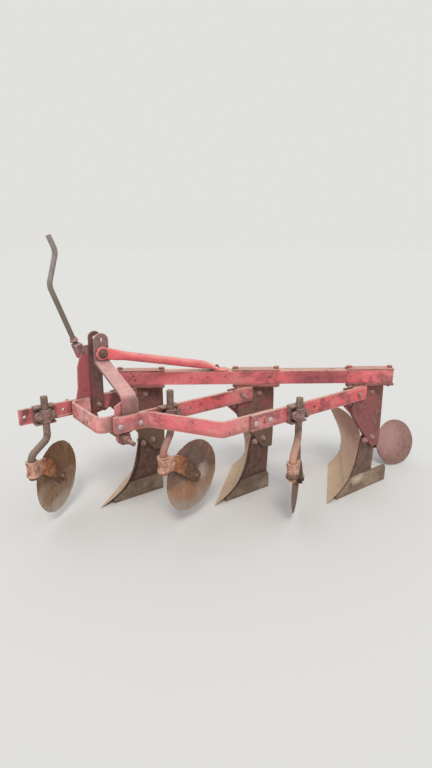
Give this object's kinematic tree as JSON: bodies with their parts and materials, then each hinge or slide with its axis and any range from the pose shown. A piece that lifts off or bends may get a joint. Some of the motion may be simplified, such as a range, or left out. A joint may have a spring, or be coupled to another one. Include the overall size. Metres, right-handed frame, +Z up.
{
  "type": "moldboard plough",
  "caption": "Mounted right-hand moldboard plough: diagonal box beam, frogs with shares and moldboards, swivelling disc coulters, three-point headstock and rear furrow wheel.",
  "frame": {"origin": "middle of the plough's outer box, on the ground", "axes": "+X forward along the line of travel, +Y to the left, +Z up"},
  "size_m": [2.322, 1.2526, 1.4406],
  "materials": {
    "faded_red_paint": "faded, chipped red paint over rust",
    "soil_worn_steel": "soil-worn steel with a thin tan rust",
    "orange_rust": "rough orange rust",
    "bleached_paint": "paint bleached to a dusty pink-grey",
    "dark_rust": "dark brown rust with traces of red",
    "brown_rust": "even brown rust"
  },
  "bodies": {
    "frame": {"main_beam": "faded_red_paint", "beam_clamp_1": "brown_rust", "beam_clamp_2": "brown_rust", "beam_clamp_3": "brown_rust", "leg_bracket_1": "faded_red_paint", "leg_bracket_2": "faded_red_paint", "leg_bracket_3": "faded_red_paint", "leg_1": "dark_rust", "leg_2": "dark_rust", "leg_3": "dark_rust", "frog_1": "dark_rust", "frog_2": "dark_rust", "frog_3": "dark_rust", "brace_1": "dark_rust", "brace_2": "dark_rust", "brace_3": "dark_rust", "share_1": "soil_worn_steel", "share_2": "soil_worn_steel", "share_3": "soil_worn_steel", "moldboard_1": "soil_worn_steel", "moldboard_2": "soil_worn_steel", "moldboard_3": "soil_worn_steel", "landside_1": "soil_worn_steel", "landside_2": "soil_worn_steel", "landside_3": "soil_worn_steel", "frame_bar_1": "faded_red_paint", "frame_bar_2": "faded_red_paint", "frame_bar_3": "faded_red_paint", "bent_bar_left": "faded_red_paint", "bent_bar_right": "faded_red_paint", "hitch_plate_left": "faded_red_paint", "hitch_plate_right": "faded_red_paint", "cross_shaft": "brown_rust", "mast_left": "bleached_paint", "mast_right": "dark_rust", "stay_tube": "faded_red_paint", "screw_bracket": "faded_red_paint", "hand_crank": "bleached_paint", "coulter_clamp_1": "brown_rust", "coulter_clamp_2": "brown_rust", "coulter_clamp_3": "brown_rust", "coulter_stem_1": "brown_rust", "coulter_stem_2": "brown_rust", "coulter_stem_3": "brown_rust", "wheel_arm": "dark_rust"},
    "coulter_swivel_1": {"coulter_arm_1": "orange_rust"},
    "coulter_wheel_1": {"coulter_disc_1": "brown_rust"},
    "coulter_swivel_2": {"coulter_arm_2": "orange_rust"},
    "coulter_wheel_2": {"coulter_disc_2": "brown_rust"},
    "coulter_swivel_3": {"coulter_arm_3": "orange_rust"},
    "coulter_wheel_3": {"coulter_disc_3": "brown_rust"},
    "furrow_wheel": {"rear_wheel": "brown_rust"}
  },
  "joints": [
    {"name": "swivel_1", "type": "hinge", "parent": "frame", "child": "coulter_swivel_1", "pos_m": [1.13039, -0.13555, 0.372], "axis": [0, 0, 1], "range_deg": [-88, 12]},
    {"name": "disc_spin_1", "type": "hinge", "parent": "coulter_swivel_1", "child": "coulter_wheel_1", "pos_m": [0.97358, -0.25807, 0.242], "axis": [0.6157, -0.788, 0], "continuous": true},
    {"name": "swivel_2", "type": "hinge", "parent": "frame", "child": "coulter_swivel_2", "pos_m": [0.63836, 0.24577, 0.402], "axis": [0, 0, 1], "range_deg": [-64, 36]},
    {"name": "disc_spin_2", "type": "hinge", "parent": "coulter_swivel_2", "child": "coulter_wheel_2", "pos_m": [0.44527, 0.19762, 0.272], "axis": [0.2419, -0.9703, 0], "continuous": true},
    {"name": "swivel_3", "type": "hinge", "parent": "frame", "child": "coulter_swivel_3", "pos_m": [0.13952, 0.59582, 0.36], "axis": [0, 0, 1], "range_deg": [-88, 12]},
    {"name": "disc_spin_3", "type": "hinge", "parent": "coulter_swivel_3", "child": "coulter_wheel_3", "pos_m": [-0.01729, 0.4733, 0.23], "axis": [0.6157, -0.788, 0], "continuous": true},
    {"name": "rear_wheel_spin", "type": "hinge", "parent": "frame", "child": "furrow_wheel", "pos_m": [-1.0197, 0.36518, 0.14109], "axis": [0.2337, 0.9372, 0.2588], "continuous": true}
  ]
}
